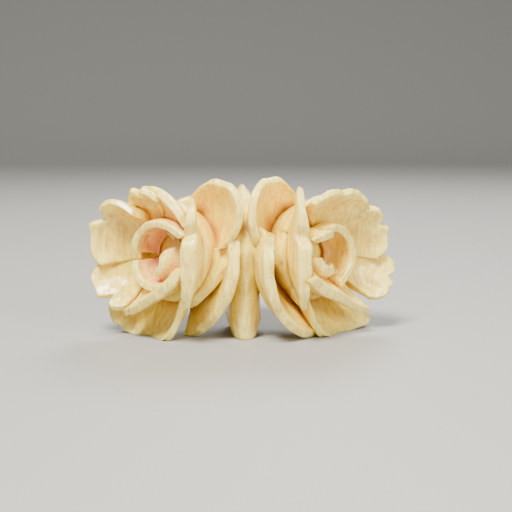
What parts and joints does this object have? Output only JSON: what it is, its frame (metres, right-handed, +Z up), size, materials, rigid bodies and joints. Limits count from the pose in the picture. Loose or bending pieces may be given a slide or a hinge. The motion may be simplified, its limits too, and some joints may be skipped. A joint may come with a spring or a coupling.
{
  "type": "sew-on button",
  "caption": "Carved bone-coloured sew-on button: two open roses joined back to back on a narrow spine, with a drilled sewing shank behind.",
  "frame": {"origin": "centre of the button's outline at the level of its flat-cut lower petals", "axes": "+Z up with the button standing on its lower petals, +X along its long side, roses opening towards -Y, sewing shank towards +Y"},
  "size_m": [0.0288, 0.0146, 0.0149],
  "materials": {
    "petals": "polished bone, cream, stood in for by ceramic",
    "rose_heart": "polished bone, amber in the recesses",
    "body": "polished bone"
  },
  "bodies": {
    "root": {"back_plate": "body", "centre_spine": "body", "sewing_shank": "body", "left_core": "rose_heart", "right_core": "rose_heart", "left_bud_upper": "rose_heart", "left_bud_outer": "rose_heart", "left_bud_lower": "rose_heart", "left_ring_inward": "petals", "left_ring_top": "petals", "left_ring_upper": "petals", "left_ring_lower": "petals", "left_ring_bottom": "petals", "left_outer_top": "petals", "left_outer_back": "petals", "left_outer_base": "petals", "left_outer_inward": "petals", "left_waist_upper": "petals", "left_waist_lower": "petals", "right_bud_upper": "rose_heart", "right_bud_outer": "rose_heart", "right_bud_lower": "rose_heart", "right_ring_inward": "petals", "right_ring_top": "petals", "right_ring_upper": "petals", "right_ring_lower": "petals", "right_ring_bottom": "petals", "right_outer_top": "petals", "right_outer_back": "petals", "right_outer_base": "petals", "right_outer_inward": "petals", "right_waist_upper": "petals", "right_waist_lower": "petals"}
  },
  "joints": []
}
